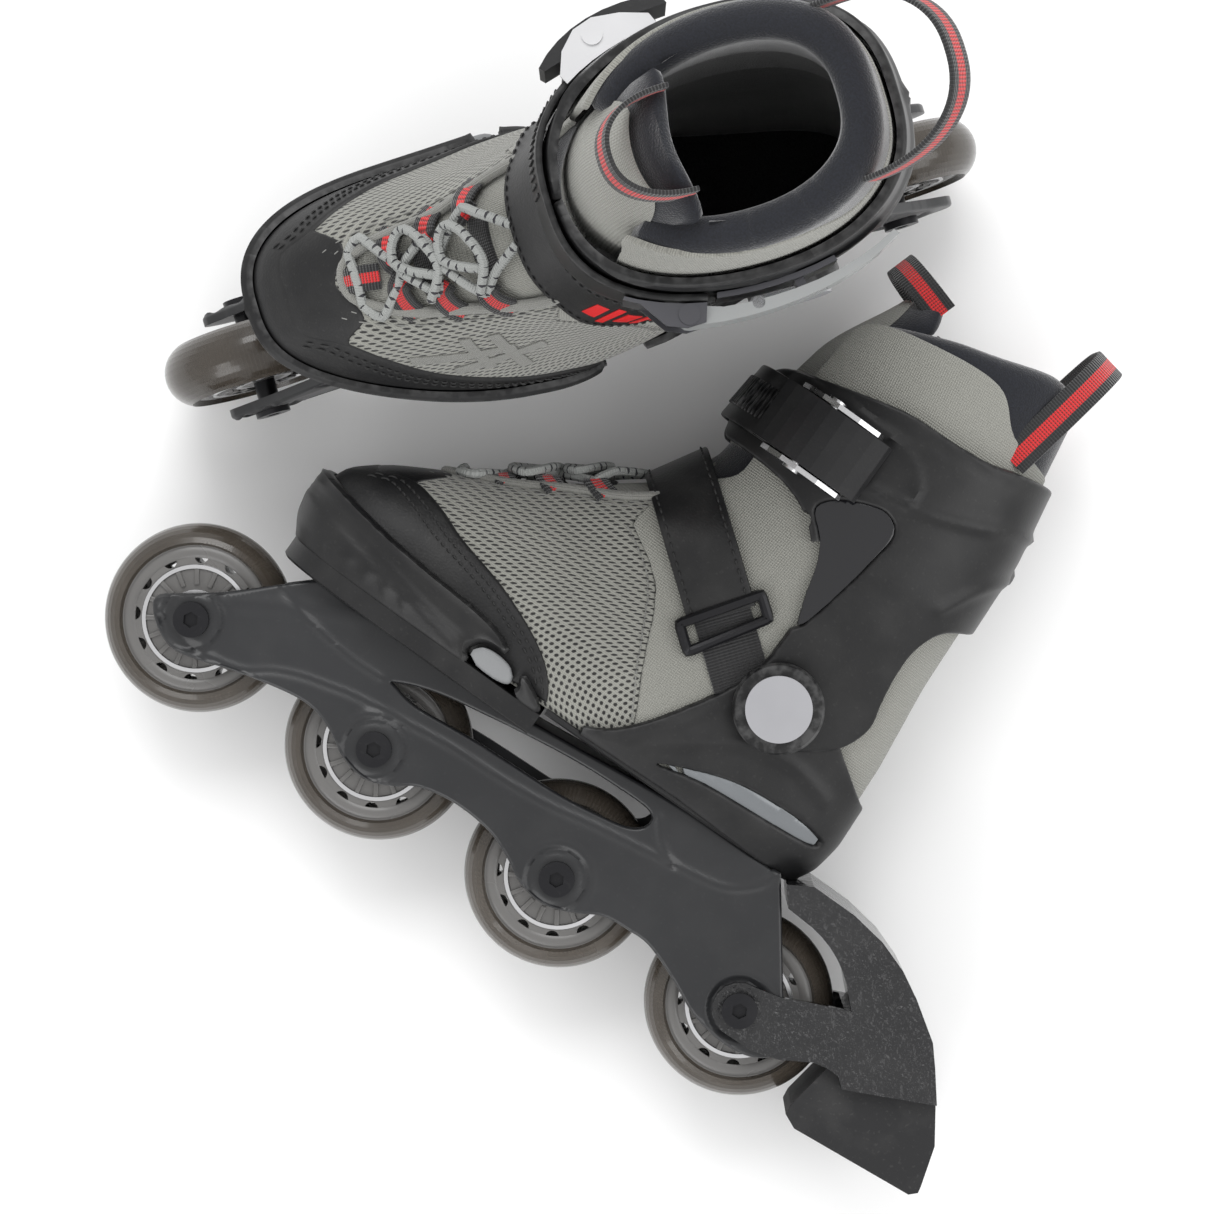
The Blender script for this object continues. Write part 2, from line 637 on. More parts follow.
def make_groups():
    """The shared effects: moulded grain, wear on edges, dust, weave, holes, stripes and flecks."""
    g, i, o = group("Moulded Grain", [("Vector", "Vector", None), ("Size", "Float", 900.0)],
                    [("Height", "Float"), ("Blotch", "Float")])
    fine = g.add("ShaderNodeTexNoise", {"Vector": i["Vector"], "Scale": i["Size"], "Detail": 3.0})
    wide = g.add("ShaderNodeTexNoise", {"Vector": i["Vector"], "Scale": 14.0, "Detail": 4.0})
    g.tree.links.new(fine.outputs[0], o.inputs["Height"])
    g.tree.links.new(wide.outputs[0], o.inputs["Blotch"])

    g, i, o = group("Edge Wear", [("Vector", "Vector", None), ("Amount", "Float", 0.3)],
                    [("Mask", "Float")])
    geo = g.add("ShaderNodeNewGeometry")
    edge = g.ramp(geo.outputs["Pointiness"], 0.52, 0.62)
    noise = g.add("ShaderNodeTexNoise", {"Vector": i["Vector"], "Scale": 260.0, "Detail": 5.0})
    rough = g.math("MULTIPLY", edge, g.ramp(noise.outputs[0], 0.42, 0.62))
    g.tree.links.new(g.math("MULTIPLY", rough, i["Amount"], True), o.inputs["Mask"])

    g, i, o = group("Dust", [("Vector", "Vector", None), ("Amount", "Float", 0.2)],
                    [("Mask", "Float")])
    noise = g.add("ShaderNodeTexNoise", {"Vector": i["Vector"], "Scale": 60.0, "Detail": 6.0})
    specks = g.add("ShaderNodeTexNoise", {"Vector": i["Vector"], "Scale": 700.0, "Detail": 2.0})
    soft = g.ramp(noise.outputs[0], 0.45, 0.75)
    spots = g.ramp(specks.outputs[0], 0.62, 0.72)
    both = g.math("ADD", g.math("MULTIPLY", soft, 0.6), g.math("MULTIPLY", spots, 0.5), True)
    g.tree.links.new(g.math("MULTIPLY", both, i["Amount"], True), o.inputs["Mask"])

    g, i, o = group("Weave", [("Vector", "Vector", None), ("Threads", "Float", 12.0)],
                    [("Height", "Float"), ("Gap", "Float")])
    parts = g.add("ShaderNodeSeparateXYZ", {0: i["Vector"]})
    u = g.math("MULTIPLY", parts.outputs[0], i["Threads"])
    v = g.math("MULTIPLY", parts.outputs[1], i["Threads"])
    over = g.math("MODULO", g.math("ADD", g.math("FLOOR", u), g.math("FLOOR", v)), 2.0)
    over = g.math("ABSOLUTE", over)
    wave_u = g.math("ABSOLUTE", g.math("SINE", g.math("MULTIPLY", u, math.pi)))
    wave_v = g.math("ABSOLUTE", g.math("SINE", g.math("MULTIPLY", v, math.pi)))
    mixed = g.add("ShaderNodeMix", {0: over, 2: wave_u, 3: wave_v})
    height = g.math("MULTIPLY", mixed.outputs[0], g.math("ADD", g.math("MULTIPLY", wave_u, wave_v), 0.35))
    g.tree.links.new(height, o.inputs["Height"])
    g.tree.links.new(g.ramp(height, 0.32, 0.02), o.inputs["Gap"])

    g, i, o = group("Round Holes", [("Vector", "Vector", None), ("Rows", "Float", 3.6),
                                    ("Size", "Float", 0.3)], [("Mask", "Float"), ("Height", "Float")])
    parts = g.add("ShaderNodeSeparateXYZ", {0: i["Vector"]})
    u = g.math("MULTIPLY", parts.outputs[0], i["Rows"])
    v = g.math("MULTIPLY", parts.outputs[1], i["Rows"])
    du = g.math("SUBTRACT", g.math("FRACT", u), 0.5)
    dv = g.math("SUBTRACT", g.math("FRACT", v), 0.5)
    r = g.math("SQRT", g.math("ADD", g.math("MULTIPLY", du, du), g.math("MULTIPLY", dv, dv)))
    gap = g.math("SUBTRACT", i["Size"], r)
    g.tree.links.new(g.ramp(gap, -0.03, 0.05), o.inputs["Mask"])
    g.tree.links.new(g.ramp(gap, 0.1, -0.1), o.inputs["Height"])

    g, i, o = group("Stripes", [("Vector", "Vector", None), ("Half", "Float", 0.2)],
                    [("Mask", "Float"), ("Height", "Float")])
    parts = g.add("ShaderNodeSeparateXYZ", {0: i["Vector"]})
    far = g.math("ABSOLUTE", parts.outputs[1])
    g.tree.links.new(g.math("LESS_THAN", far, i["Half"]), o.inputs["Mask"])
    ribs = g.math("SINE", g.math("MULTIPLY", parts.outputs[0], 2 * math.pi * 9))
    rows = g.math("SINE", g.math("MULTIPLY", parts.outputs[1], 2 * math.pi * 11))
    g.tree.links.new(g.math("ADD", g.math("MULTIPLY", ribs, 0.7), g.math("MULTIPLY", rows, 0.3)),
                     o.inputs["Height"])

    g, i, o = group("Flecks", [("Vector", "Vector", None)], [("Mask", "Float"), ("Height", "Float")])
    parts = g.add("ShaderNodeSeparateXYZ", {0: i["Vector"]})
    turn = g.math("ADD", g.math("MULTIPLY", parts.outputs[0], 2.6), parts.outputs[1])
    left = g.math("FRACT", turn)
    back = g.math("FRACT", g.math("SUBTRACT", g.math("MULTIPLY", parts.outputs[0], 3.1), parts.outputs[1]))
    mark = g.math("MULTIPLY", g.math("LESS_THAN", left, 0.34), g.math("LESS_THAN", back, 0.34))
    g.tree.links.new(mark, o.inputs["Mask"])
    braid = g.math("SINE", g.math("MULTIPLY", turn, 2 * math.pi * 4))
    g.tree.links.new(braid, o.inputs["Height"])


def new_material(name, **constants):
    """A material with one Principled shader whose constants sit on its sockets."""
    mat = bpy.data.materials.new(name)
    mat.use_nodes = True
    g = Graph(mat.node_tree)
    shader = mat.node_tree.nodes["Principled BSDF"]
    for key, value in constants.items():
        shader.inputs[key.replace("_", " ").title().replace("Ior", "IOR")].default_value = value
    return mat, g, shader


def use(g, name, vector, **inputs):
    node = g.add("ShaderNodeGroup", node_tree=bpy.data.node_groups[name])
    g.tree.links.new(vector, node.inputs["Vector"])
    for key, value in inputs.items():
        if isinstance(value, bpy.types.NodeSocket):
            g.tree.links.new(value, node.inputs[key])
        else:
            node.inputs[key].default_value = value
    return node.outputs


def bump(g, shader, height, strength, distance=0.0005, normal=None):
    inputs = {"Height": height, "Strength": strength, "Distance": distance}
    if normal is not None:
        inputs["Normal"] = normal
    node = g.add("ShaderNodeBump", inputs)
    g.tree.links.new(node.outputs[0], shader.inputs["Normal"])
    return node.outputs[0]


def hard_material(name, colour, rough, grain=0.12, wear=0.15, dust=0.08, metallic=0.0, coat=0.0,
                  size=900.0, pale=(0.5, 0.5, 0.5, 1), depth=0.0003):
    """Moulded plastic or metal with fine grain, paler worn edges and a little dust."""
    mat, g, shader = new_material(name, roughness=rough, metallic=metallic)
    shader.inputs["Coat Weight"].default_value = coat
    shader.inputs["Specular IOR Level"].default_value = 0.35
    where = g.add("ShaderNodeTexCoord").outputs["Object"]
    grain_out = use(g, "Moulded Grain", where, Size=size)
    dusty = use(g, "Dust", where, Amount=dust * 0.4)["Mask"]
    shade = g.mix(g.ramp(grain_out["Blotch"], 0.3, 0.7), [c * 0.85 for c in colour[:3]] + [1],
                  [min(1, c * 1.12) for c in colour[:3]] + [1])
    if wear > 0:
        shade = g.mix(use(g, "Edge Wear", where, Amount=wear)["Mask"], shade, pale)
    shade = g.mix(dusty, shade, (0.42, 0.41, 0.39, 1))
    g.tree.links.new(shade, shader.inputs["Base Color"])
    spread = g.math("ADD", g.math("MULTIPLY", grain_out["Blotch"], 0.16), rough - 0.08)
    g.tree.links.new(g.math("ADD", spread, g.math("MULTIPLY", dusty, 0.3), True),
                     shader.inputs["Roughness"])
    bump(g, shader, grain_out["Height"], grain, depth)
    return mat


def cloth_material(name, colour, dark, threads, holes=None, rough=0.85):
    """Woven cloth, with a row of round holes over it when holes is (rows per cm, size)."""
    mat, g, shader = new_material(name, roughness=rough)
    shader.inputs["Sheen Weight"].default_value = 0.25
    shader.inputs["Sheen Roughness"].default_value = 0.5
    where = g.add("ShaderNodeUVMap", uv_map="flat").outputs[0]
    weave = use(g, "Weave", where, Threads=threads)
    spot = g.add("ShaderNodeTexCoord").outputs["Object"]
    blotch = use(g, "Moulded Grain", spot)["Blotch"]
    shade = g.mix(g.ramp(blotch, 0.3, 0.7), [c * 0.9 for c in colour[:3]] + [1], colour)
    shade = g.mix(g.math("MULTIPLY", weave["Gap"], 0.6), shade, dark)
    height = weave["Height"]
    if holes:
        dots = use(g, "Round Holes", where, Rows=holes[0], Size=holes[1])
        shade = g.mix(dots["Mask"], shade, [c * 0.25 for c in dark[:3]] + [1])
        height = g.math("ADD", g.math("MULTIPLY", height, 0.3), g.math("MULTIPLY", dots["Height"], 1.5))
    shade = g.mix(use(g, "Dust", spot, Amount=0.06)["Mask"], shade, (0.5, 0.48, 0.45, 1))
    g.tree.links.new(shade, shader.inputs["Base Color"])
    bump(g, shader, height, 0.7, 0.0004)
    return mat


def leather_material(name, colour, rough=0.42):
    mat, g, shader = new_material(name, roughness=rough)
    shader.inputs["Specular IOR Level"].default_value = 0.35
    where = g.add("ShaderNodeTexCoord").outputs["Object"]
    cells = g.add("ShaderNodeTexVoronoi", {"Vector": where, "Scale": 1100.0})
    wide = use(g, "Moulded Grain", where, Size=300.0)
    shade = g.mix(g.ramp(wide["Blotch"], 0.3, 0.7), [c * 0.8 for c in colour[:3]] + [1],
                  [c * 1.3 for c in colour[:3]] + [1])
    shade = g.mix(use(g, "Dust", where, Amount=0.04)["Mask"], shade, (0.4, 0.39, 0.37, 1))
    g.tree.links.new(shade, shader.inputs["Base Color"])
    g.tree.links.new(g.math("ADD", g.math("MULTIPLY", wide["Blotch"], 0.25), rough - 0.1),
                     shader.inputs["Roughness"])
    height = g.math("ADD", g.math("MULTIPLY", cells.outputs[0], 0.6), g.math("MULTIPLY", wide["Height"], 0.6))
    bump(g, shader, height, 0.25, 0.0004)
    return mat


def webbing_material(name, main, centre, half):
    mat, g, shader = new_material(name, roughness=0.8)
    shader.inputs["Sheen Weight"].default_value = 0.3
    where = g.add("ShaderNodeUVMap", uv_map="flat").outputs[0]
    bands = use(g, "Stripes", where, Half=half)
    shade = g.mix(bands["Mask"], main, centre)
    shade = g.mix(g.ramp(bands["Height"], 0.0, -1.0), shade, (0.004, 0.004, 0.004, 1))
    g.tree.links.new(shade, shader.inputs["Base Color"])
    bump(g, shader, bands["Height"], 0.8, 0.0004)
    return mat


def lace_material(name, colour, dark):
    mat, g, shader = new_material(name, roughness=0.85)
    where = g.add("ShaderNodeUVMap", uv_map="flat").outputs[0]
    bits = use(g, "Flecks", where)
    g.tree.links.new(g.mix(bits["Mask"], colour, dark), shader.inputs["Base Color"])
    bump(g, shader, bits["Height"], 0.5, 0.0004)
    return mat


def padding_material(name, colour):
    mat, g, shader = new_material(name, roughness=0.95)
    shader.inputs["Sheen Weight"].default_value = 0.6
    shader.inputs["Sheen Roughness"].default_value = 0.4
    where = g.add("ShaderNodeTexCoord").outputs["Object"]
    fuzz = use(g, "Moulded Grain", where, Size=1600.0)
    shade = g.mix(g.ramp(fuzz["Height"], 0.35, 0.7), [c * 0.7 for c in colour[:3]] + [1],
                  [c * 1.6 for c in colour[:3]] + [1])
    g.tree.links.new(shade, shader.inputs["Base Color"])
    bump(g, shader, fuzz["Height"], 0.5, 0.0006)
    return mat


def urethane_material(name, colour):
    mat, g, shader = new_material(name, roughness=0.18)
    shader.inputs["Transmission Weight"].default_value = 0.55
    shader.inputs["IOR"].default_value = 1.42
    shader.inputs["Coat Weight"].default_value = 0.3
    where = g.add("ShaderNodeTexCoord").outputs["Object"]
    cloud = use(g, "Moulded Grain", where, Size=400.0)
    shade = g.mix(g.ramp(cloud["Blotch"], 0.3, 0.7), [c * 0.8 for c in colour[:3]] + [1],
                  [c * 1.25 for c in colour[:3]] + [1])
    shade = g.mix(use(g, "Dust", where, Amount=0.12)["Mask"], shade, (0.5, 0.47, 0.42, 1))
    g.tree.links.new(shade, shader.inputs["Base Color"])
    g.tree.links.new(g.math("ADD", g.math("MULTIPLY", cloud["Blotch"], 0.25), 0.12),
                     shader.inputs["Roughness"])
    bump(g, shader, cloud["Height"], 0.05, 0.0003)
    return mat


def clear_material(name, colour, rough=0.12, transmission=0.8):
    mat, g, shader = new_material(name, roughness=rough, base_color=colour)
    shader.inputs["Transmission Weight"].default_value = transmission
    where = g.add("ShaderNodeTexCoord").outputs["Object"]
    marks = use(g, "Moulded Grain", where, Size=500.0)
    g.tree.links.new(g.math("ADD", g.math("MULTIPLY", marks["Blotch"], 0.15), rough - 0.05, True),
                     shader.inputs["Roughness"])
    bump(g, shader, marks["Height"], 0.04, 0.0003)
    return mat


def make_materials(s):
    """Every finish, from the settings' colours."""
    black = (0.01, 0.01, 0.011, 1)
    return {
        "shell": hard_material("shell plastic", s.shell_colour, 0.42, 0.1),
        "chassis": hard_material("chassis satin black", s.chassis_colour, 0.34, 0.06, 0.0, 0.05, 0.0, 0.1),
        "brake": hard_material("brake arm black", (0.008, 0.008, 0.009, 1), 0.26, 1.0, 0.0, 0.05, 0.0, 0.4,
                               260.0, depth=0.0016),
        "rubber": hard_material("brake rubber", (0.012, 0.012, 0.013, 1), 0.7, 0.3, 0.0, 0.15),
        "plain_black": hard_material("lever black", (0.012, 0.012, 0.013, 1), 0.38, 0.15, 0.0, 0.05),
        "silver": hard_material("pivot cap silver", s.silver_colour, 0.36, 0.04, 0.0, 0.04, 0.35),
        "button": hard_material("button grey", s.button_colour, 0.4, 0.06, 0.0, 0.05),
        "steel": hard_material("zinc steel", (0.62, 0.62, 0.63, 1), 0.28, 0.03, 0.0, 0.05, 1.0),
        "dark_steel": hard_material("dark steel", (0.11, 0.11, 0.12, 1), 0.32, 0.03, 0.0, 0.05, 1.0),
        "bolt": hard_material("blackened bolt", (0.012, 0.012, 0.014, 1), 0.3, 0.03, 0.0, 0.06, 0.4),
        "lever": hard_material("lever grey", s.lever_colour, 0.33, 0.05, 0.0, 0.04, 0.15, 0.2),
        "mesh": cloth_material("perforated mesh", s.mesh_colour, (0.035, 0.034, 0.032, 1), 14.0, (4.2, 0.3)),
        "canvas": cloth_material("canvas", s.mesh_colour, (0.09, 0.088, 0.082, 1), 11.0),
        "piping": cloth_material("piping", s.piping_colour, (0.12, 0.12, 0.11, 1), 16.0),
        "leather": leather_material("black leather", s.leather_colour),
        "rand": leather_material("rand leather", s.leather_colour, 0.5),
        "red_print": hard_material("red print", s.accent_colour, 0.45, 0.05, 0.0, 0.05),
        "thread": hard_material("black thread", (0.02, 0.02, 0.02, 1), 0.6, 0.3, 0.0, 0.0, 0.0, 0.0, 2500.0),
        "grey_thread": hard_material("grey thread", (0.2, 0.2, 0.19, 1), 0.7, 0.3, 0.0, 0.0, 0.0, 0.0,
                                     2500.0),
        "red_webbing": webbing_material("red centre webbing", black, s.accent_colour, 0.2),
        "webbing": webbing_material("black webbing", black, (0.014, 0.014, 0.015, 1), 0.3),
        "lace": lace_material("flecked lace", s.lace_colour, (0.03, 0.03, 0.035, 1)),
        "padding": padding_material("padding navy black", s.padding_colour),
        "tyre": urethane_material("smoky urethane", s.tyre_colour),
        "hub": clear_material("hub core", (0.17, 0.165, 0.16, 1), 0.25, 0.3),
        "smoke": clear_material("smoky window", (0.012, 0.012, 0.014, 1), 0.06, 0.1),
        "lens": hard_material("lens grey", (0.16, 0.17, 0.18, 1), 0.22, 0.02, 0.0, 0.03, 0.3, 0.5),
        "clear": clear_material("clear tab", (0.75, 0.76, 0.78, 1), 0.1, 0.85),
        "insole": padding_material("insole", (0.03, 0.03, 0.033, 1)),
    }


MATERIALS = {}


# ------------------------------------------------------------------ the soft upper
SEAM = [(88, 50), (92, 64), (100, 80), (114, 108), (134, 122)]
THROAT = curve_through([(0, 97.3), (6, 98.2), (11, 101.5), (15.2, 106.5), (17.7, 112), (20.3, 118),
                        (27.6, 127.5), (29.6, 136)], False, 1.5)
RAND_TOP = [(218, 84), (206, 88.5), (193, 86.5), (180, 82), (160, 77), (145, 71.5), (135, 66.4),
            (127.5, 60.7), (120.6, 52)]
FRONT_EDGE = [(130, 136), (120, 150), (112, 160), (112.5, 185), (110, 210), (106, 229)]


def mesh_front():
    """Toe and quarters in perforated mesh, from sole to throat, in front of the double seam."""
    half = np.vstack([THROAT, on_chart(TOE, SEAM[::-1], 1, 3.0)])
    outline = np.vstack([half, half[::-1][:-1] * [-1, 1]])
    return panel(TOE, outline, 0.4, -1.6, 0.6, 2.2)


def canvas_rear():
    """The ankle in canvas, behind the double seam and up to the collar."""
    line = SEAM + FRONT_EDGE + [(80, 236), (55, 237), (41, 226), (24, 222)]
    outline = both_sides(REAR, line, 50, 221, (4,))
    return panel(REAR, outline, 1.1, -0.9, 0.8, 2.4)


def stage_floor(size):
    """A big floor that the skates rest on."""
    mesh = bpy.data.meshes.new("floor")
    bm = bmesh.new()
    bmesh.ops.create_grid(bm, x_segments=2, y_segments=2, size=size)
    bm.to_mesh(mesh)
    bm.free()
    return mesh


class SKATE_settings(bpy.types.PropertyGroup):
    """Colours and sizes of the skates' visible pieces."""

    def colour(label, text, value):
        return bpy.props.FloatVectorProperty(name=label, description=text, subtype="COLOR", size=4,
                                             min=0, max=1, default=value)

    def length(label, text, value):
        return bpy.props.FloatProperty(name=label, description=text, default=value, min=0.0,
                                       unit="LENGTH", subtype="DISTANCE", precision=5)

    shell_colour: colour("Shell", "Hard plastic of shell, cuff and toe", (0.006, 0.006, 0.0065, 1))
    chassis_colour: colour("Chassis", "Wheel frame", (0.017, 0.0175, 0.019, 1))
    mesh_colour: colour("Mesh", "Warm grey mesh and canvas", (0.29, 0.29, 0.26, 1))
    piping_colour: colour("Piping", "Rolled edge round the laces", (0.25, 0.25, 0.23, 1))
    leather_colour: colour("Leather", "Power strap, toe patch and rand", (0.007, 0.007, 0.0075, 1))
    padding_colour: colour("Padding", "Collar, tongue edge and lining", (0.006, 0.007, 0.011, 1))
    accent_colour: colour("Accent", "Red in the webbing and the print", (0.62, 0.012, 0.014, 1))
    lace_colour: colour("Lace", "Pale part of the laces", (0.3, 0.31, 0.3, 1))
    silver_colour: colour("Pivot cap", "Silver paint of the pivot caps", (0.4, 0.4, 0.42, 1))
    button_colour: colour("Size button", "Button that frees the toe", (0.2, 0.205, 0.21, 1))
    lever_colour: colour("Buckle lever", "Grey buckle lever", (0.36, 0.37, 0.37, 1))
    tyre_colour: colour("Wheel", "Smoky urethane", (0.085, 0.07, 0.055, 1))
    floor_colour: colour("Floor", "Plain pale floor", (0.86, 0.86, 0.86, 1))
    stitch_length: length("Stitch", "Length of one stitch", 0.0024)
    stitch_gap: length("Stitch gap", "Space between stitches", 0.0011)
    lace_radius: length("Lace radius", "Half the lace's thickness", 0.0017)
    piping_radius: length("Piping radius", "Half the piping's thickness", 0.0019)
    webbing_thickness: length("Webbing thickness", "Thickness of the loops' webbing", 0.0016)
    edge_round: length("Moulded edge", "Rounding of the moulded edges", 0.0012)
    bevel_width: length("Hardware edge", "Rounding of the metal and chassis edges", 0.0006)


def settings():
    return bpy.context.scene.skate_settings


class SKATE_OT_stage(bpy.types.Operator):
    """Floor, soft lights and the camera above the pair"""

    bl_idname = "skate.stage"
    bl_label = "Stage"

    def execute(self, context):
        s = settings()
        scene = context.scene
        floor = bpy.data.objects.new("floor", stage_floor(6.0))
        floor.location = (0, 0, -0.0002)
        scene.collection.objects.link(floor)
        mat, g, shader = new_material("floor paper", roughness=0.7, base_color=s.floor_colour)
        noise = g.add("ShaderNodeTexNoise", {"Scale": 3.0})
        g.tree.links.new(g.ramp(noise.outputs[0], -1.2, 1.8), shader.inputs["Roughness"])
        floor.data.materials.append(mat)
        world = bpy.data.worlds.new("studio")
        world.use_nodes = True
        world.node_tree.nodes["Background"].inputs[0].default_value = (1, 1, 1, 1)
        world.node_tree.nodes["Background"].inputs[1].default_value = WORLD_STRENGTH
        scene.world = world
        for name, spot, size, power in LAMPS:
            light = bpy.data.lights.new(name, "AREA")
            light.energy, light.size = power, size
            lamp = bpy.data.objects.new(name, light)
            lamp.location = spot
            lamp.rotation_euler = (Vector(AIM) - Vector(spot)).to_track_quat("-Z", "Y").to_euler()
            scene.collection.objects.link(lamp)
        axle = MATRIX["right"].translation
        cam = bpy.data.cameras.new("camera")
        cam.sensor_width = SENSOR_WIDTH
        scale = VIEW_SCALE * (CAMERA_HEIGHT - SUBJECT_HEIGHT)
        cam.lens = scale * SENSOR_WIDTH / VIEW_SIDE
        cam.clip_start = 0.05
        camera = bpy.data.objects.new("camera", cam)
        dx, dy = CAMERA_OFFSET
        spot = Matrix.Translation((axle.x + dx, axle.y + dy, CAMERA_HEIGHT))
        camera.matrix_world = spot @ Matrix.Rotation(CAMERA_TURN, 4, "Z")
        scene.collection.objects.link(camera)
        scene.camera = camera
        scene.view_settings.view_transform = "Standard"
        return {"FINISHED"}


class SKATE_OT_uppers(bpy.types.Operator):
    """Mesh quarters, canvas ankle, rand, toe patch, piping and seams"""

    bl_idname = "skate.uppers"
    bl_label = "Soft uppers"

    def execute(self, context):
        s, m = settings(), MATERIALS
        length, gap = s.stitch_length / MM, s.stitch_gap / MM
        place("quarters", mesh_front(), m["mesh"], FOOT, ("liner_foot",), "upper_mesh")
        place("ankle", canvas_rear(), m["canvas"], ANKLE, (), "upper_mesh")
        under = np.vstack([on_chart(TOE,
                [(207, 92), (190, 96), (170, 104), (148, 116), (128, 130), (122, 152)], 1, 3.0)])
        under = np.vstack([[[0, 89]], under, [[0, 165]]])
        outline = np.vstack([under, under[::-1][1:-1] * [-1, 1]])
        place("vamp_tongue", panel(TOE, outline, -2.2, -4.2, 0.8, 2.6), m["canvas"], FOOT, (), "upper_mesh")
        top = on_chart(TOE, RAND_TOP, 1, 2.0)
        half = np.vstack([[[0, 85.5]], top, on_chart(TOE, [(150, 50), (190, 48.5), (222, 48.5)], 1, 4.0),
                          [[0, 49]]])
        outline = np.vstack([half, half[::-1][1:-1] * [-1, 1]])
        place("rand", panel(TOE, outline, 1.7, 0.5, 0.7, 2.2), m["rand"], FOOT, (), "strap_leather")
        for k, inset in enumerate((2.6, 5.0)):
            both = [stitch_row(TOE, part, 1.7, length, gap)
                    for part in (offset_line(top, -inset), offset_line(top, -inset) * [-1, 1])]
            place(f"rand_stitches_{k + 1}", join(both), m["thread"], FOOT)
        patch = np.array([(-52, 60), (-50, 76), (-38, 84), (-24, 89), (-15, 97), (-8, 97.6), (0, 95.6),
                          (8, 97.6), (15, 97), (24, 89), (36, 80), (38, 60)], float)
        patch = curve_through(patch, True, 2.0, (0, 11))
        place("toe_patch", panel(TOE, patch, 1.25, 0.35, 0.5, 2.0), m["leather"], FOOT, (), "strap_leather")
        seams = []
        for shift in (-1.3, 1.3):
            for side in (1, -1):
                line = offset_line(on_chart(TOE, SEAM[1:], side, 2.0), shift)
                seams.append(stitch_row(TOE, line, 0.5, length, gap, 0.34))
        place("seam_stitches", join(seams), m["grey_thread"], ANKLE)
        ring = np.vstack([THROAT[::-1], THROAT[1:] * [-1, 1]])
        path, n = TOE.frame(ring[:, 0], ring[:, 1], 0.8)
        place("throat_piping",
              sweep(path, [(s.piping_radius / MM * math.cos(t), s.piping_radius / MM * math.sin(t))
              for t in np.linspace(0, 2 * math.pi, 10, endpoint=False)], n), m["piping"], FOOT, (),
              "upper_mesh")
        rows = []
        for inset in (4.0, 7.0):
            for side in (1, -1):
                rows.append(stitch_row(TOE, offset_line(THROAT[5:], -inset) * [side, 1], 0.5, length, gap,
                                       0.3))
        place("throat_stitches", join(rows), m["grey_thread"], FOOT)
        bars = []
        for side, marks in ((-1,
                ((150, 100, 186, 88), (140, 100, 172, 84), (156, 108, 148, 84), (166, 104, 160, 86))),
                            (1, ())):
            for x0, z0, x1, z1 in marks:
                line = on_chart(TOE, [(x0, z0), ((x0 + x1) / 2, (z0 + z1) / 2), (x1, z1)], side, 1.5)
                path, n = TOE.frame(line[:, 0], line[:, 1], 0.75)
                bars.append(sweep(path, band_section(4.5, 0.8, 0.35, 4), n))
        place("side_bars", join(bars), m["piping"], FOOT, (), "upper_mesh")
        return {"FINISHED"}


SHELL_LINE = [(66, 50), (112, 49.5), (119, 50), (110, 51.5), (103, 54.5), (97.5, 58), (90, 66), (83, 76),
              (75.6, 88), (70.5, 98), (67, 106), (60, 113), (52, 115), (44, 112), (35, 103.8), (20, 92.8),
              (10, 86), (4, 82)]


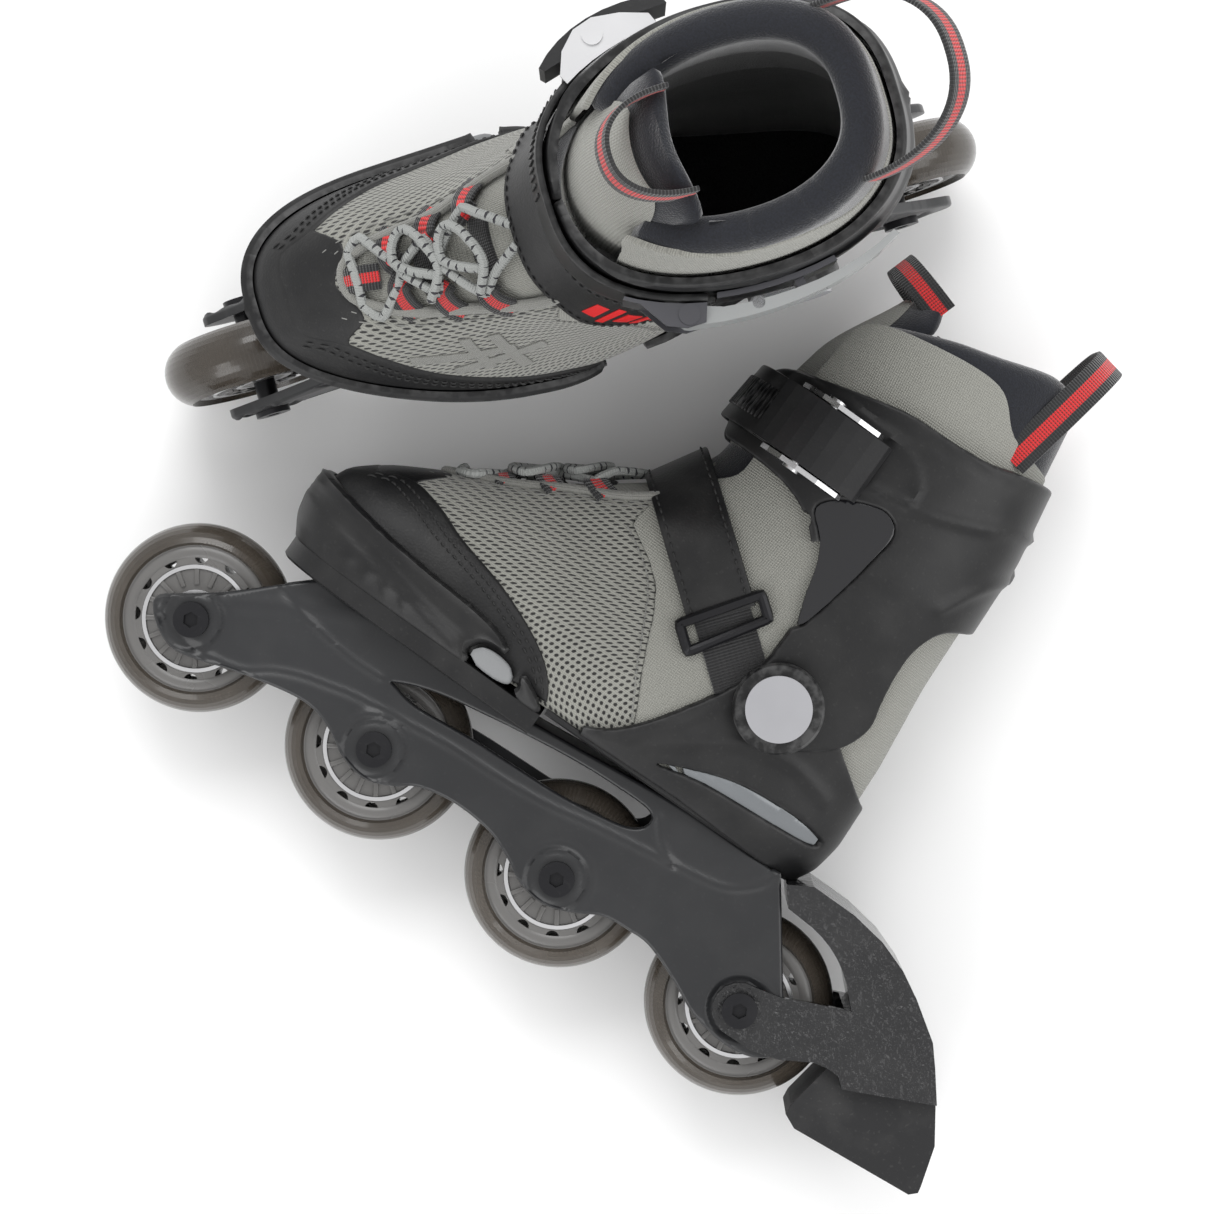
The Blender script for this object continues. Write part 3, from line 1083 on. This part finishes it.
class SKATE_OT_shells(bpy.types.Operator):
    """Heel shells, sliding toe shells, soles and size buttons"""

    bl_idname = "skate.shells"
    bl_label = "Hard shells"

    def execute(self, context):
        s, m = settings(), MATERIALS
        edge = s.edge_round / MM
        outline = both_sides(REAR, SHELL_LINE, 46.5, 81.3, (2,))
        lens = [on_chart(REAR,
                [(78, 56.6), (60, 64.5), (45, 68), (25, 68.8), (14, 66.4), (16, 63.6), (30, 62.3),
                 (60, 60.3)], side, 2.0, (), True)
                for side in (1, -1)]
        relief = both_lines(REAR, (
            ([(86, 60), (70, 72), (58, 80), (40, 84), (22, 80)], 2.2, 0.9),
            ([(108, 53.5), (95, 57), (86, 66), (78, 76), (72, 88)], 1.1, -0.6)))
        shell = panel(REAR, outline, 4.2, 1.2, edge, 1.8, lens, relief)
        place("shell_hard", shell, m["shell"], "base", ("shell",), "shell_plastic")
        inserts = [panel(REAR, l, 3.0, 0.8, 0.3, 2.0) for l in lens]
        place("heel_lens", join(inserts), m["lens"], "base", (), "grey_plastic")
        place("sole_rear", sole((-8, 120), 47.9, 50.5, 3.0), m["shell"], "base", (), "shell_plastic")
        top = [(236, 74), (220, 71.4), (200, 68.3), (180, 66.4), (160, 65), (150, 63.3), (140, 59),
               (130, 54.5), (122, 50)]
        half = np.vstack([[[0, 75.0]], on_chart(TOE, top, 1, 2.0),
                          on_chart(TOE, [(122, 46.5), (150, 46.2), (200, 46), (222, 46)], 1, 3.0), [[0, 46]]])
        outline = np.vstack([half, half[::-1][1:-1] * [-1, 1]])
        hole = on_chart(TOE,
                [(133, 51), (136, 55.5), (143, 57.5), (151, 56.5), (154.5, 51), (151, 47.8), (143, 46.8),
                 (136, 47.8)], 1, 1.5, (), True)
        relief = []
        for side in (1, -1):
            relief.append((on_chart(TOE, [(235, 67), (210, 62.6), (180, 56.8), (158, 52.3)], side, 1.5), 1.4,
                           -0.7))
            relief.append((on_chart(TOE, [(235, 64.6), (210, 60.2), (180, 54.2), (160, 50.2)], side, 1.5),
                           1.3, -0.6))
            relief.append((on_chart(TOE, top, side, 2.0), 2.4, 1.0))
            for x in (213, 206, 197.5, 189, 181):
                relief.append((on_chart(TOE, [(x, 51), (x - 1.5, 53.5)], side, 1.0), 1.3, 0.6))
        relief.append((hole, 1.8, 1.0))
        place("toe_shell", panel(TOE, outline, 5.4, 2.4, edge, 1.2, [hole], relief), m["shell"], "toe",
              ("toe_cap",), "shell_plastic")
        place("sole_toe", sole((121, 234), 38.8, 47.2, 4.6), m["shell"], "toe", (), "shell_plastic")
        button = on_chart(TOE,
                [(135.5, 51), (137.5, 54.5), (144, 56.2), (150, 55.3), (152.6, 51), (150, 48.6), (143, 48),
                 (137.5, 48.7)], 1, 1.5, (), True)
        place("button_cap", panel(TOE, button, 6.2, 4.0, 1.1, 1.2), m["button"], "button", ("size_button",),
              "grey_plastic")
        return {"FINISHED"}


def sole(span, low, high, inset):
    """A flat plate that follows the boot's plan between two lengths."""
    rings = []
    turns = np.linspace(-math.pi, math.pi, 120, endpoint=False)
    for z, d in ((low, inset - 1.2), (low + 0.8, inset), (high - 0.3, inset), (high, inset - 0.6)):
        p = boot(47.5, turns, d)
        p[:, 0] = np.clip(p[:, 0], *span)
        p[:, 2] = z
        rings.append(p[::-1])
    return loft(rings[::-1])


class SKATE_OT_cuffs(bpy.types.Operator):
    """Cuffs with their windows, ribs and pivot bosses"""

    bl_idname = "skate.cuffs"
    bl_label = "Cuffs"

    def execute(self, context):
        s, m = settings(), MATERIALS
        edge = s.edge_round / MM
        line = [(34, 94), (45, 87), (56, 86.5), (66, 92), (68.5, 102), (67.3, 111), (67, 120), (67.5, 132.5),
                (71, 144), (77.5, 153), (85, 160), (95, 164.4), (107, 166), (116, 166.5), (121, 167.5),
                (122.5, 183), (119, 197), (113, 201), (105, 203), (90, 207), (75, 210.4), (60, 211),
                (45, 212.5), (35, 215.5), (20, 219.5)]
        rear = [(13, 160.5), (23.5, 153.8), (28, 144), (28.5, 132.5), (27, 121), (25, 111), (28, 101)]
        half = on_chart(REAR, rear + line, 1, 2.0, (0,))
        half = np.vstack([[[0, 161]], half, [[0, 219.5]]])
        outline = np.vstack([half, half[::-1][1:-1] * [-1, 1]])
        window = [(78, 171), (70, 175.2), (62.5, 177), (56.6, 172.5), (57.5, 160), (60, 145), (63, 132),
                  (65.6, 126), (69, 136), (72, 148), (76, 156), (82, 162), (82.5, 166)]
        holes = [on_chart(REAR, window, side, 1.6, (), True) for side in (1, -1)]
        relief = both_lines(REAR, (
            ([(12.5, 201), (22.5, 199), (40, 190), (55, 184.4), (70, 181), (82, 179)], 2.0, 1.1),
            ([(12, 186), (18, 180), (24.4, 171), (30, 160)], 2.0, 1.0),
            ([(118, 202), (100, 200.6), (90, 200.5), (70, 198.8), (60, 192), (58.5, 184)], 1.3, 0.8),
            ([(34, 210), (60, 206.5), (90, 202.5)], 0.8, -0.5)))
        place("cuff_hard", panel(REAR, outline, 5.4, 2.4, edge, 1.8, holes, relief), m["shell"], "cuff",
              ("cuff",), "shell_plastic")
        boss = [(16.5, 35), (16.5, 41.0), (15.6, 42.2), (0.4, 42.4), (0.4, 35)]
        bosses = [spin(boss, (53, 0, 98), (0, side, 0), 64) for side in (1, -1)]
        place("pivot_boss", join(bosses), m["shell"], "cuff", (), "shell_plastic")
        panes = [panel(REAR, hole, 4.4, 3.0, 0.3, 2.0) for hole in holes]
        place("cuff_window", join(panes), m["smoke"], "cuff", (), "clear_plastic")
        return {"FINISHED"}


def arc_path(turns, z, d):
    """Places and outward directions round the boot at one height, for angles in degrees."""
    a = np.radians(np.asarray(turns, float))
    z = np.broadcast_to(np.asarray(z, float), a.shape)
    p = boot(z, a, d)
    n = np.cross(boot(z, a + 0.01, d) - boot(z, a - 0.01, d), boot(z + 0.5, a, d) - boot(z - 0.5, a, d))
    return p, n / np.linalg.norm(n, axis=1, keepdims=True)


def instep(turns, offset, d):
    """The line of the power strap, a slope across the instep, offset mm up its width."""
    a = np.radians(np.asarray(turns, float))
    offset = np.broadcast_to(np.asarray(offset, float), a.shape)
    rise = math.radians(38)
    z = np.full(a.shape, 150.0)
    for _ in range(14):
        x = boot(z, a, 3.0)[:, 0]
        z = z * 0.4 + 0.6 * (113 + (offset + math.sin(rise) * (x - 88)) / math.cos(rise))
    return boot(z, a, d)


def strap_path(turns, d):
    mid = instep(turns, 0, d)
    up = instep(turns, 3, d) - instep(turns, -3, d)
    along = np.gradient(mid, axis=0)
    n = np.cross(along, up)
    return mid, n / np.linalg.norm(n, axis=1, keepdims=True)


class SKATE_OT_straps(bpy.types.Operator):
    """Power straps with ring and webbing, and the toothed cuff straps"""

    bl_idname = "skate.straps"
    bl_label = "Straps"

    def execute(self, context):
        s, m = settings(), MATERIALS
        length, gap = s.stitch_length / MM, s.stitch_gap / MM
        turns = np.linspace(-104, 92, 90)
        path, n = strap_path(turns, 3.0)
        place("power_strap_band", sweep(path, band_section(25, 2.4, 0.8), n), m["leather"], INSTEP,
              ("power_strap",), "strap_leather")
        _, side_way, up_way = directions(path, n)
        rows = []
        for v in (-10.3, 10.3):
            rows.append(threads(path + side_way * v + up_way * 1.2, up_way, length, gap))
        place("power_strap_stitches", join(rows), m["thread"], INSTEP)
        marks = []
        for start, width in ((-84, 7), (-74, 4), (-67, 7), (-57, 4), (-50, 7)):
            t = np.linspace(start, start + width, 8)
            p, nn = strap_path(t, 4.3)
            marks.append(sweep(p, band_section(9 if width == 7 else 14, 0.35, 0.15, 3), nn))
        place("power_strap_print", join(marks), m["red_print"], INSTEP)
        web_turns = np.linspace(91, 112, 16)
        p, nn = strap_path(web_turns, 2.0)
        place("strap_webbing", sweep(p, band_section(21, 1.5, 0.6), nn, flat_scale=21), m["webbing"], "base",
              (), "webbing")
        ring = []
        for a0, v in ((90.5, -15.5), (90.5, 15.5), (98.5, 15.5), (98.5, -15.5)):
            ring.append(instep(np.array([a0]), v, 3.4)[0])
        ring = curve_through(np.array(ring), True, 1.0, (0, 1, 2, 3))
        place("strap_ring", tube(ring, 2.0, 10, True), m["bolt"], "base", (), "shell_plastic")
        a = np.linspace(-71, 80, 100)
        p, nn = arc_path(a, 184.5, 7.2)
        place("cuff_strap_band", sweep(p, band_section(24, 2.4, 0.8), nn), m["shell"], "cuff",
              ("cuff_strap",), "shell_plastic")
        teeth = []
        for t in np.arange(2, 43, 2.6):
            q, qn = arc_path([t - 0.45, t, t + 0.45], 184.5, 8.6)
            teeth.append(sweep(q, band_section(13, 1.2, 0.5, 3), qn, False, [0.9, 1, 0.9]))
        place("strap_teeth", join(teeth), m["shell"], "cuff", (), "shell_plastic")
        return {"FINISHED"}


class SKATE_OT_collars(bpy.types.Operator):
    """Padded collars, tongues, linings and insoles"""

    bl_idname = "skate.collars"
    bl_label = "Padding"

    def execute(self, context):
        m = MATERIALS
        line = [(24, 206), (44, 206), (70, 208), (90, 209), (105, 210), (109, 220), (106, 231),
                (82, 240.5), (60, 246), (38, 252), (26, 252.5)]
        outline = both_sides(REAR, line, 206, 252.5)
        collar = panel(REAR, outline, 0.5, -12.0, 6.0, 2.4, padded=True)
        for obj in place("collar", collar, m["padding"], "cuff", ("liner_collar",), "padding", None):
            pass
        rings = []
        turns = np.linspace(-math.pi, math.pi, 72, endpoint=False)
        for z in (54, 60, 70, 80, 90, 100, 110, 120, 130, 140, 150, 160, 168):
            rings.append(boot(z, turns, -6.5)[::-1])
        place("lining", loft(rings[::-1], True, False), m["padding"], ANKLE, (), "padding", None)
        back = [boot(z, np.linspace(math.radians(62), math.radians(298), 50), -9.0)[::-1] for z in (160, 170,
                185, 200, 215, 230, 240)]
        place("lining_leg", loft(back[::-1], False, False), m["padding"], "cuff", (), "padding", None)
        plan = [boot(56.0, turns, d)[::-1] + [0, 0, dz] for dz, d in ((-3, -4.5), (1.0, -5.0), (2.2, -7.0))]
        place("insole_pad", loft(plan[::-1]), m["insole"], "base", (), "padding")
        grid_u, grid_v = np.linspace(-1, 1, 29), np.linspace(0, 1, 40)
        faces_front, faces_back = [], []
        for v in grid_v:
            z = 150 + 103 * v
            front = float(np.interp(z, HEIGHTS, FRONT_X)) - 8 - 9 * smooth(0.6, 1.0, v)
            wide = 29.5 if v < 0.62 else 29.5 * math.sqrt(max(0.02, 1 - ((v - 0.62) / 0.385) ** 2.6))
            wide = min(wide, 24 + 12 * (1 - smooth(0.2, 0.35, v)))
            row_f, row_b = [], []
            for u in grid_u:
                y = wide * u
                puff = 6.6 * (max(0.0, 1 - u**4)) ** 0.5 * (max(0.0, 1 - v**12)) ** 0.5
                bend = front - y * y / 62
                row_f.append((bend + puff, y, z))
                row_b.append((bend - puff, y, z))
            faces_front.append(row_f)
            faces_back.append(row_b)
        rings = [np.array(f + b[::-1]) for f, b in zip(faces_front, faces_back)]
        tongue = loft([r[::-1] for r in rings])
        for obj in place("tongue_pad", tongue, m["padding"], "cuff", ("tongue",), "padding", None):
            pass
        face = []
        for v in np.linspace(0.16, 0.93, 30):
            z = 150 + 103 * v
            front = float(np.interp(z, HEIGHTS, FRONT_X)) - 8 - 9 * smooth(0.6, 1.0, v)
            wide = 24 if v < 0.62 else 24 * math.sqrt(max(0.02, 1 - ((v - 0.62) / 0.385) ** 2.6))
            wide = max(3.0, wide - 3.5)
            row = []
            for u in np.linspace(-1, 1, 25):
                y = wide * u
                puff = 6.6 * (1 - (y / 24.5) ** 4) ** 0.5
                row.append((front - y * y / 62 + puff + 0.35, y, z))
            face.append(row)
        face = np.array(face)
        flat = [(p[1] / 10, p[2] / 10) for row in face for p in row]
        geo = loft(face, False, False, flat)
        place("tongue_face", geo, m["canvas"], "cuff", (), "upper_mesh", None)
        return {"FINISHED"}


def eyelets():
    """Lace points on the throat's edge, inner side first, from the toe up."""
    spots = []
    for x, z in ((180, 107.5), (165, 116), (149, 125)):
        s0 = TOE.across(x, z, 1)
        spots.append(((s0 - 6.5, z + 1.0), (-s0 + 6.5, z + 1.0)))
    return spots


class SKATE_OT_laces(bpy.types.Operator):
    """Laces, their webbing eyelets and the patches on the tongue"""

    bl_idname = "skate.laces"
    bl_label = "Laces"

    def execute(self, context):
        s, m = settings(), MATERIALS
        rows = eyelets()
        loops, laces = [], []
        for pair in rows + [((0.0, 101.5), None)]:
            for k, spot in enumerate(pair):
                if spot is None:
                    continue
                if pair[1] is None:
                    ends = [(0.0, 97.0), (0.0, 104.5)]
                else:
                    sign = 1 if k == 0 else -1
                    ends = [(spot[0] + sign * 11, spot[1] - 1.5), (spot[0] - sign * 3.5, spot[1] + 1.0)]
                t = np.linspace(0, 1, 12)
                fs = ends[0][0] + (ends[1][0] - ends[0][0]) * t
                fz = ends[0][1] + (ends[1][1] - ends[0][1]) * t
                lift = np.concatenate([0.9 + 2.6 * np.sin(t[:9] * math.pi * 0.62), [3.2, 2.2, 0.6]])
                p = np.array([TOE.frame([a], [b], c)[0][0] for a, b, c in zip(fs, fz, lift)])
                nn = TOE.frame(fs, fz, 1.0)[1]
                loops.append(sweep(p, band_section(9.0, 1.3, 0.5), nn, flat_scale=9.0))
        place("eyelet_loops", join(loops), m["red_webbing"], FOOT, (), "webbing")

        def run(points, lifts):
            pts = curve_through(np.array(points, float), False, 2.0)
            ups = np.interp(np.linspace(0, 1, len(pts)), np.linspace(0, 1, len(lifts)), lifts)
            p = np.array([TOE.frame([a], [b], c)[0][0] for (a, b), c in zip(pts, ups)])
            laces.append(tube(p, s.lace_radius / MM, 8))

        run([(-10, 100.5), (0, 102.4), (10, 100.5)], [3, 5, 3])
        run([(9, 100.5), (14, 103), rows[0][0]], [3, 4.5, 3])
        run([(-9, 100.5), (-14, 103), rows[0][1]], [3, 4.5, 3])
        chain = rows + [((TOE.across(140, 137, 1) - 6, 139), (-TOE.across(140, 137, 1) + 6, 139))]
        for low, high in zip(chain, chain[1:]):
            for a, b, up in ((low[0], high[1], 6.4), (low[1], high[0], 3.4)):
                mid = ((a[0] + b[0]) / 2, (a[1] + b[1]) / 2 + (1.5 if up > 5 else -1.0))
                run([a, mid, b], [2.6, up, 2.6])
        for x, z in ((1.0, 119), (-2.0, 130)):
            run([(x - 12, z - 3), (x - 3, z + 3.5), (x + 7, z + 1), (x + 12, z - 5), (x + 2, z - 6),
                 (x - 5, z + 2)], [5.5, 8, 8.5, 7, 8, 6])
        place("lace_run", join(laces), m["lace"], FOOT, ("laces",), "lace")
        patches = []
        for z in (113.5, 127.5):
            fs = np.linspace(-11, 11, 12)
            p, nn = TOE.frame(fs, np.full(12, z), -1.2)
            patches.append(sweep(p, band_section(8.5, 1.5, 0.5), nn, flat_scale=8.5))
        place("tongue_patches", join(patches), m["webbing"], FOOT, (), "webbing")
        return {"FINISHED"}


def hanging_loop(centre, half_span, reach, out, across, width, thick, square=0.85):
    """A webbing loop standing out from two ends."""
    out, across = np.array(out, float), np.array(across, float)
    out /= np.linalg.norm(out)
    across /= np.linalg.norm(across)
    t = np.linspace(0, math.pi, 40)
    span = np.cos(t)
    path = [np.array(centre, float) + across * half_span * math.copysign(abs(c) ** square, c)
            + out * reach * max(0.0, math.sin(a)) ** 0.9 for c, a in zip(span, t)]
    path = np.array(path)
    face = np.cross(across, out)
    tangent = np.gradient(path, axis=0)
    n = np.cross(tangent, np.broadcast_to(face, path.shape))
    return sweep(path, band_section(width, thick, 0.5), n, flat_scale=width)


class SKATE_OT_loops(bpy.types.Operator):
    """Pull loops at the tongue and the heel"""

    bl_idname = "skate.loops"
    bl_label = "Pull loops"

    def execute(self, context):
        s, m = settings(), MATERIALS
        thick = s.webbing_thickness / MM
        tongue = hanging_loop((86, 0, 248), 16, 24, (0.95, 0, 0.3), (0, 1, 0), 11, thick)
        lying = hanging_loop((36, 0, 218), 31, 52, (-0.19, 0, 0.98), (0, 1, 0), 12, thick, 0.45)
        standing = hanging_loop((34, 0, 244), 27, 38, (-0.84, 0, 0.54), (0, 1, 0), 12, thick)
        for side, heel in (("right", lying), ("left", standing)):
            obj = add_mesh("webbing_loops", side, tongue + heel, m["red_webbing"])
            hold(obj, side, "cuff", ("pull_loops",))
        return {"FINISHED"}


RAIL = [(259.5, 1), (242, 14), (223, 31.5), (215, 38.9), (150, 38.6), (105, 43.2), (60, 47.7), (20, 48),
        (17, 50), (-10, 13.5), (-19, 3), (-20.5, -6), (-15, -11.5), (-6, -13.8), (4, -13.4), (14, -11),
        (26, -5.5), (40, -0.5), (50, -0.3), (60, -1.5), (69, -6.5), (80, -10.5), (91, -9.3), (101, -4.2),
        (112, -0.2), (128, 0.8), (142, -2), (150, -7.4), (160, -11), (171, -9), (180, -4), (190, -1),
        (200, -1.5), (220, -6.1), (235, -11), (245, -12.8), (254, -9), (260, -3)]
RAIL_WINDOW = [(172, 23.6), (165, 27), (155, 30.2), (142, 32.8), (120, 36.4), (100, 39), (83, 40), (70, 40),
               (66, 38), (66.5, 34), (71, 30.5), (80, 28.3), (100, 25.5), (133, 24), (160, 21.6)]
RAIL_LINES = [
    ([(258, -4), (240, -8), (220, -4.5), (210, 2), (200, 6.5), (190, 9.3), (180, 11.8), (160, 14.5),
      (140, 17), (120, 18), (100, 20.1), (80, 24), (50, 28.9), (30, 33), (20, 41), (18, 47)], 1.7, -0.8),
    ([(224, 28.5), (215, 25.7), (205, 23.9), (190, 22.3), (176, 22.6)], 1.3, -0.7),
    ([(64, 40), (58, 33), (50, 28.9)], 1.4, -0.7),
    ([(258, 3), (240, 11), (222, 22), (208, 30), (196, 35)], 4.0, 0.7),
]


class SKATE_OT_rails(bpy.types.Operator):
    """Wheel frames: two moulded rails and the plate between them"""

    bl_idname = "skate.rails"
    bl_label = "Wheel frames"

    def execute(self, context):
        s, m = settings(), MATERIALS
        outline = curve_through(RAIL, True, 2.0, (0, 3, 4, 7, 8, 9))
        window = curve_through(RAIL_WINDOW, True, 2.0, (0,))
        relief = [(curve_through(line, False, 1.5), width, height) for line, width, height in RAIL_LINES]
        for x in (0, 81.5, 163, 244.5):
            turn = np.linspace(0, 2 * math.pi, 40)
            relief.append((np.stack([x + 10.4 * np.cos(turn), 10.4 * np.sin(turn)], -1), 1.4, -0.8))
            relief.append((np.stack([x + 12.8 * np.cos(turn), 12.8 * np.sin(turn)], -1), 1.6, 0.5))
        rails = [panel(Flat(16.3, side), outline, 3.6, 0.0, s.edge_round / MM, 1.15, [window],
                       relief) for side in (1, -1)]
        deck = [(215, 38.5), (150, 38.5), (60, 47.6), (20, 47.6), (20, 44.4), (60, 44.4), (149.6, 35.3),
                (215, 35.3)]
        plate = loft([[(x, y, z) for x, z in deck] for y in (16.6, -16.6)])
        place("rails", join(rails + [plate]), m["chassis"], "base", ("frame",), "chassis")
        return {"FINISHED"}


class SKATE_OT_hardware(bpy.types.Operator):
    """Edges and finishes of the chassis, brake, buckles, ratchets and bolts"""

    bl_idname = "skate.hardware"
    bl_label = "Hardware"

    def execute(self, context):
        s, m = settings(), MATERIALS
        finish = {"mount_bolts": ("bolt", "black_steel"), "axles": ("bolt", "black_steel"),
                  "pivot_rivets": ("silver", "grey_plastic"), "buckle_base": ("dark_steel", "dark_steel"),
                  "buckle_lever": ("lever", "lever_grey"), "buckle_link": ("clear", "clear_plastic"),
                  "strap_bracket": ("dark_steel", "dark_steel"), "ratchet_base": ("steel", "steel"),
                  "ratchet_lever": ("plain_black", "shell_plastic"), "brake_arm": ("brake", "shell_plastic"),
                  "brake_pad": ("rubber", "brake_rubber")}
        for i in range(1, 5):
            finish[f"tyre_{i}"] = ("tyre", "tyre")
            finish[f"hub_{i}"] = ("hub", "hub")
        for side in SIDES:
            for key, (material, slot) in finish.items():
                node = frame["nodes"].get(f"{side}_{key}")
                if node is None:
                    continue
                node.data.materials.clear()
                node.data.materials.append(m[material])
                if not key.startswith("tyre"):
                    bevel = node.modifiers.new("edges", "BEVEL")
                    bevel.width = s.bevel_width * (2.0 if key.startswith("brake") else 0.8)
                    bevel.segments = 3
                    bevel.limit_method = "ANGLE"
                    bevel.angle_limit = math.radians(40)
                    bevel.harden_normals = False
        return {"FINISHED"}


class SKATE_OT_wheels(bpy.types.Operator):
    """Wheel cores with spokes and cells, bearing shields"""

    bl_idname = "skate.wheels"
    bl_label = "Wheel cores"

    def execute(self, context):
        m = MATERIALS
        for side in SIDES:
            for i in range(1, 5):
                x = 81.5 * (i - 1)
                parts, steel = Geo(), Geo()
                for sign in (1, -1):
                    axis = (0, sign, 0)
                    parts = parts + spin([(26.6, 8.9), (25.2, 9.5), (23.6, 9.5), (22.4, 8.9)], (x, 0, 0),
                                         axis, 64, True)
                    steel = steel + spin([(20.2, 8.8), (19.8, 9.9), (18.4, 9.9), (18.0, 8.8)], (x, 0, 0),
                                         axis, 64, True)
                    steel = steel + spin([(10.9, 9.1), (10.6, 9.5), (8.4, 9.5), (8.2, 9.1)], (x, 0, 0), axis,
                                         48, True)
                    for k in range(16):
                        t = 2 * math.pi * (k + 0.5) / 16
                        radial = np.array([math.cos(t), 0, math.sin(t)])
                        p = [np.array([x, sign * 8.9, 0]) + radial * r for r in (12.5, 14.5, 16.5, 18.2)]
                        parts = parts + sweep(p, band_section(1.9, 1.8, 0.5, 2),
                                              np.broadcast_to((0.0, sign, 0.0), (4, 3)))
                hold(add_mesh(f"core_rings_{i}", side, parts, m["hub"]), side, f"wheel_{i}", ())
                hold(add_mesh(f"bearing_rings_{i}", side, steel, m["steel"]), side, f"wheel_{i}", ())
        return {"FINISHED"}


class SKATE_PT_workshop(bpy.types.Panel):
    """Settings and building steps of the skates"""

    bl_label = "Inline skates"
    bl_idname = "SKATE_PT_workshop"
    bl_space_type = "VIEW_3D"
    bl_region_type = "UI"
    bl_category = "Skates"

    def draw(self, context):
        s = context.scene.skate_settings
        for key in SKATE_settings.__annotations__:
            self.layout.prop(s, key)
        for step in STEPS:
            self.layout.operator(step.bl_idname)


STEPS = (SKATE_OT_stage, SKATE_OT_uppers, SKATE_OT_shells, SKATE_OT_cuffs, SKATE_OT_straps, SKATE_OT_collars,
         SKATE_OT_laces, SKATE_OT_loops, SKATE_OT_rails, SKATE_OT_hardware, SKATE_OT_wheels)
CLASSES = (SKATE_settings,) + STEPS + (SKATE_PT_workshop,)


def register():
    for cls in CLASSES:
        bpy.utils.register_class(cls)
    bpy.types.Scene.skate_settings = bpy.props.PointerProperty(type=SKATE_settings)


def unregister():
    del bpy.types.Scene.skate_settings
    for cls in reversed(CLASSES):
        bpy.utils.unregister_class(cls)


def main():
    register()
    make_groups()
    MATERIALS.update(make_materials(settings()))
    for step in STEPS:
        category, name = step.bl_idname.split(".")
        result = getattr(getattr(bpy.ops, category), name)()
        if "FINISHED" not in result:
            raise RuntimeError(f"{step.bl_label} didn't finish")
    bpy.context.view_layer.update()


if __name__ == "__main__":
    main()
